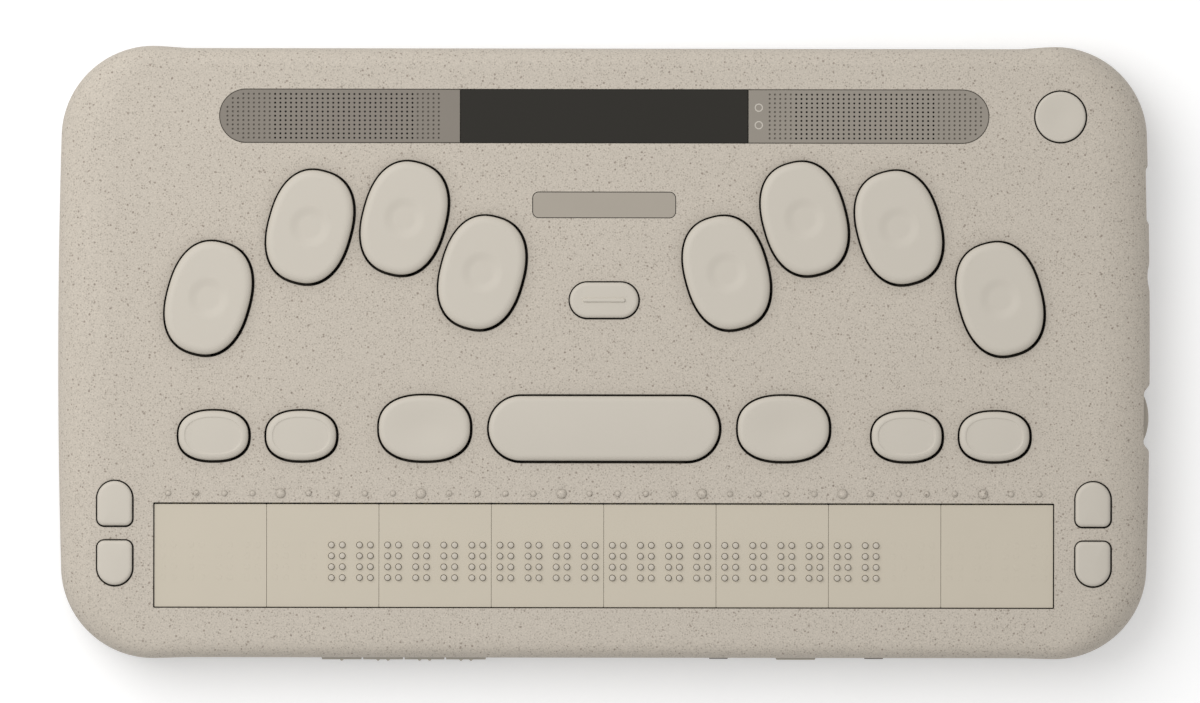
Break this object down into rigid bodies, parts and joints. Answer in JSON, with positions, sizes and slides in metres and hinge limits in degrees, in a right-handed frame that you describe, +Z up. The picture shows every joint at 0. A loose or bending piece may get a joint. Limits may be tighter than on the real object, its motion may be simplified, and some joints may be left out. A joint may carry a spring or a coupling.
{
  "type": "braille notetaker",
  "caption": "Flat portable braille notetaker with a line of braille cells, chorded keys, a speaker strip with a text window, and edge controls.",
  "frame": {"origin": "on the table under the middle of the case", "axes": "+X to the user's right, +Y to the back edge, +Z up"},
  "size_m": [0.25, 0.1409, 0.0215],
  "materials": {
    "shell": "fine texture with darker speckles",
    "key": "satin",
    "cap": "satin",
    "pin": "satin",
    "grille": "matt",
    "window": "dark and smooth",
    "panel": "smooth",
    "light_guide": "frosted",
    "plate": "satin, left bare",
    "knob": "satin",
    "module": "matt",
    "reed": "thin coated strip",
    "board": "lacquered laminate",
    "keymat": "soft",
    "battery": "wrapped",
    "speaker": "matt",
    "port_metal": "satin",
    "jack": "matt",
    "cable": "flat ribbon",
    "foot": "matt",
    "screw": "plated"
  },
  "bodies": {
    "case": {"top_case": "shell", "bottom_case": "shell", "speaker_grilles": "grille", "lcd_window": "window", "lcd_panel": "panel", "status_lights": "light_guide", "nameplate": "plate", "braille_caps": "cap", "braille_frames": "module", "braille_reeds": "reed", "braille_backplane": "board", "key_board": "board", "silicone_keymat": "keymat", "front_board": "board", "main_board": "board", "battery_pack": "battery", "speakers": "speaker", "usb_a_port": "port_metal", "usb_c_port": "port_metal", "headphone_jack": "jack", "ribbon_cables": "cable", "rubber_feet": "foot", "case_screws": "screw", "board_screws": "screw"},
    "dot_key_1": {"dot_key_1": "key"},
    "dot_key_2": {"dot_key_2": "key"},
    "dot_key_3": {"dot_key_3": "key"},
    "dot_key_4": {"dot_key_4": "key"},
    "dot_key_5": {"dot_key_5": "key"},
    "dot_key_6": {"dot_key_6": "key"},
    "dot_key_7": {"dot_key_7": "key"},
    "dot_key_8": {"dot_key_8": "key"},
    "function_key_1": {"function_key_1": "key"},
    "function_key_2": {"function_key_2": "key"},
    "function_key_3": {"function_key_3": "key"},
    "function_key_4": {"function_key_4": "key"},
    "left_scroll_up": {"left_scroll_up": "key"},
    "left_scroll_down": {"left_scroll_down": "key"},
    "right_scroll_up": {"right_scroll_up": "key"},
    "right_scroll_down": {"right_scroll_down": "key"},
    "space_bar": {"space_bar": "key"},
    "backspace_key": {"backspace_key": "key"},
    "enter_key": {"enter_key": "key"},
    "home_key": {"home_key": "key"},
    "power_button": {"power_button": "key"},
    "volume_rocker": {"volume_rocker": "key"},
    "front_button": {"front_button": "key"},
    "media_button_1": {"media_button_1": "key"},
    "media_button_2": {"media_button_2": "key"},
    "media_button_3": {"media_button_3": "key"},
    "media_button_4": {"media_button_4": "key"},
    "raised_pins_1": {"raised_pins_1": "pin"},
    "raised_pins_2": {"raised_pins_2": "pin"},
    "raised_pins_3": {"raised_pins_3": "pin"},
    "raised_pins_4": {"raised_pins_4": "pin"},
    "raised_pins_5": {"raised_pins_5": "pin"},
    "lowered_pins_left": {"lowered_pins_left": "pin"},
    "lowered_pins_right": {"lowered_pins_right": "pin"},
    "lock_switch_knob": {"lock_switch_knob": "knob"},
    "mode_switch_knob": {"mode_switch_knob": "knob"}
  },
  "joints": [
    {"name": "dot_key_1_press", "type": "slide", "parent": "case", "child": "dot_key_1", "axis": [0, 0, -1], "range_m": [0, 0.0015], "stiffness_N_per_m": 300, "springref_m": -0.001, "deforming": ["silicone_keymat"]},
    {"name": "dot_key_2_press", "type": "slide", "parent": "case", "child": "dot_key_2", "axis": [0, 0, -1], "range_m": [0, 0.0015], "stiffness_N_per_m": 300, "springref_m": -0.001, "deforming": ["silicone_keymat"]},
    {"name": "dot_key_3_press", "type": "slide", "parent": "case", "child": "dot_key_3", "axis": [0, 0, -1], "range_m": [0, 0.0015], "stiffness_N_per_m": 300, "springref_m": -0.001, "deforming": ["silicone_keymat"]},
    {"name": "dot_key_4_press", "type": "slide", "parent": "case", "child": "dot_key_4", "axis": [0, 0, -1], "range_m": [0, 0.0015], "stiffness_N_per_m": 300, "springref_m": -0.001, "deforming": ["silicone_keymat"]},
    {"name": "dot_key_5_press", "type": "slide", "parent": "case", "child": "dot_key_5", "axis": [0, 0, -1], "range_m": [0, 0.0015], "stiffness_N_per_m": 300, "springref_m": -0.001, "deforming": ["silicone_keymat"]},
    {"name": "dot_key_6_press", "type": "slide", "parent": "case", "child": "dot_key_6", "axis": [0, 0, -1], "range_m": [0, 0.0015], "stiffness_N_per_m": 300, "springref_m": -0.001, "deforming": ["silicone_keymat"]},
    {"name": "dot_key_7_press", "type": "slide", "parent": "case", "child": "dot_key_7", "axis": [0, 0, -1], "range_m": [0, 0.0015], "stiffness_N_per_m": 300, "springref_m": -0.001, "deforming": ["silicone_keymat"]},
    {"name": "dot_key_8_press", "type": "slide", "parent": "case", "child": "dot_key_8", "axis": [0, 0, -1], "range_m": [0, 0.0015], "stiffness_N_per_m": 300, "springref_m": -0.001, "deforming": ["silicone_keymat"]},
    {"name": "space_bar_press", "type": "slide", "parent": "case", "child": "space_bar", "axis": [0, 0, -1], "range_m": [0, 0.0015], "stiffness_N_per_m": 300, "springref_m": -0.001, "deforming": ["silicone_keymat"]},
    {"name": "backspace_key_press", "type": "slide", "parent": "case", "child": "backspace_key", "axis": [0, 0, -1], "range_m": [0, 0.0015], "stiffness_N_per_m": 300, "springref_m": -0.001, "deforming": ["silicone_keymat"]},
    {"name": "enter_key_press", "type": "slide", "parent": "case", "child": "enter_key", "axis": [0, 0, -1], "range_m": [0, 0.0015], "stiffness_N_per_m": 300, "springref_m": -0.001, "deforming": ["silicone_keymat"]},
    {"name": "function_key_1_press", "type": "slide", "parent": "case", "child": "function_key_1", "axis": [0, 0, -1], "range_m": [0, 0.001], "stiffness_N_per_m": 300, "springref_m": -0.001, "deforming": ["silicone_keymat"]},
    {"name": "function_key_2_press", "type": "slide", "parent": "case", "child": "function_key_2", "axis": [0, 0, -1], "range_m": [0, 0.001], "stiffness_N_per_m": 300, "springref_m": -0.001, "deforming": ["silicone_keymat"]},
    {"name": "function_key_3_press", "type": "slide", "parent": "case", "child": "function_key_3", "axis": [0, 0, -1], "range_m": [0, 0.001], "stiffness_N_per_m": 300, "springref_m": -0.001, "deforming": ["silicone_keymat"]},
    {"name": "function_key_4_press", "type": "slide", "parent": "case", "child": "function_key_4", "axis": [0, 0, -1], "range_m": [0, 0.001], "stiffness_N_per_m": 300, "springref_m": -0.001, "deforming": ["silicone_keymat"]},
    {"name": "home_key_press", "type": "slide", "parent": "case", "child": "home_key", "axis": [0, 0, -1], "range_m": [0, 0.0006], "stiffness_N_per_m": 300, "springref_m": -0.001, "deforming": ["silicone_keymat"]},
    {"name": "left_scroll_up_press", "type": "slide", "parent": "case", "child": "left_scroll_up", "axis": [0, 0, -1], "range_m": [0, 0.0006], "stiffness_N_per_m": 300, "springref_m": -0.001, "deforming": ["silicone_keymat"]},
    {"name": "left_scroll_down_press", "type": "slide", "parent": "case", "child": "left_scroll_down", "axis": [0, 0, -1], "range_m": [0, 0.0006], "stiffness_N_per_m": 300, "springref_m": -0.001, "deforming": ["silicone_keymat"]},
    {"name": "right_scroll_up_press", "type": "slide", "parent": "case", "child": "right_scroll_up", "axis": [0, 0, -1], "range_m": [0, 0.0006], "stiffness_N_per_m": 300, "springref_m": -0.001, "deforming": ["silicone_keymat"]},
    {"name": "right_scroll_down_press", "type": "slide", "parent": "case", "child": "right_scroll_down", "axis": [0, 0, -1], "range_m": [0, 0.0006], "stiffness_N_per_m": 300, "springref_m": -0.001, "deforming": ["silicone_keymat"]},
    {"name": "power_button_press", "type": "slide", "parent": "case", "child": "power_button", "axis": [0, 0, -1], "range_m": [0, 0.0005], "stiffness_N_per_m": 300, "springref_m": -0.001, "deforming": ["silicone_keymat"]},
    {"name": "media_button_1_press", "type": "slide", "parent": "case", "child": "media_button_1", "axis": [0, 1, 0], "range_m": [0, 0.0006], "stiffness_N_per_m": 500, "springref_m": -0.0005},
    {"name": "media_button_2_press", "type": "slide", "parent": "case", "child": "media_button_2", "axis": [0, 1, 0], "range_m": [0, 0.0006], "stiffness_N_per_m": 500, "springref_m": -0.0005},
    {"name": "media_button_3_press", "type": "slide", "parent": "case", "child": "media_button_3", "axis": [0, 1, 0], "range_m": [0, 0.0006], "stiffness_N_per_m": 500, "springref_m": -0.0005},
    {"name": "media_button_4_press", "type": "slide", "parent": "case", "child": "media_button_4", "axis": [0, 1, 0], "range_m": [0, 0.0006], "stiffness_N_per_m": 500, "springref_m": -0.0005},
    {"name": "front_button_press", "type": "slide", "parent": "case", "child": "front_button", "axis": [0, 1, 0], "range_m": [0, 0.0006], "stiffness_N_per_m": 500, "springref_m": -0.0005},
    {"name": "lock_switch_slide", "type": "slide", "parent": "case", "child": "lock_switch_knob", "axis": [1, 0, 0], "range_m": [-0.002, 0.002]},
    {"name": "mode_switch_slide", "type": "slide", "parent": "case", "child": "mode_switch_knob", "axis": [1, 0, 0], "range_m": [-0.002, 0.002]},
    {"name": "volume_rock", "type": "hinge", "parent": "case", "child": "volume_rocker", "pos_m": [0.1208, -0.0148, 0.009], "axis": [0, 0, 1], "range_deg": [-4, 4], "stiffness_Nm_per_rad": 0.02},
    {"name": "raised_pins_1_drop", "type": "slide", "parent": "case", "child": "raised_pins_1", "axis": [0, 0, 1], "range_m": [-0.0007, 0], "stiffness_N_per_m": 300, "springref_m": 0.0003, "deforming": ["braille_reeds"]},
    {"name": "raised_pins_2_drop", "type": "slide", "parent": "case", "child": "raised_pins_2", "axis": [0, 0, 1], "range_m": [-0.0007, 0], "stiffness_N_per_m": 300, "springref_m": 0.0003, "deforming": ["braille_reeds"]},
    {"name": "raised_pins_3_drop", "type": "slide", "parent": "case", "child": "raised_pins_3", "axis": [0, 0, 1], "range_m": [-0.0007, 0], "stiffness_N_per_m": 300, "springref_m": 0.0003, "deforming": ["braille_reeds"]},
    {"name": "raised_pins_4_drop", "type": "slide", "parent": "case", "child": "raised_pins_4", "axis": [0, 0, 1], "range_m": [-0.0007, 0], "stiffness_N_per_m": 300, "springref_m": 0.0003, "deforming": ["braille_reeds"]},
    {"name": "raised_pins_5_drop", "type": "slide", "parent": "case", "child": "raised_pins_5", "axis": [0, 0, 1], "range_m": [-0.0007, 0], "stiffness_N_per_m": 300, "springref_m": 0.0003, "deforming": ["braille_reeds"]},
    {"name": "lowered_pins_left_rise", "type": "slide", "parent": "case", "child": "lowered_pins_left", "axis": [0, 0, 1], "range_m": [0, 0.0007], "stiffness_N_per_m": 300, "springref_m": -0.0003, "deforming": ["braille_reeds"]},
    {"name": "lowered_pins_right_rise", "type": "slide", "parent": "case", "child": "lowered_pins_right", "axis": [0, 0, 1], "range_m": [0, 0.0007], "stiffness_N_per_m": 300, "springref_m": -0.0003, "deforming": ["braille_reeds"]}
  ]
}
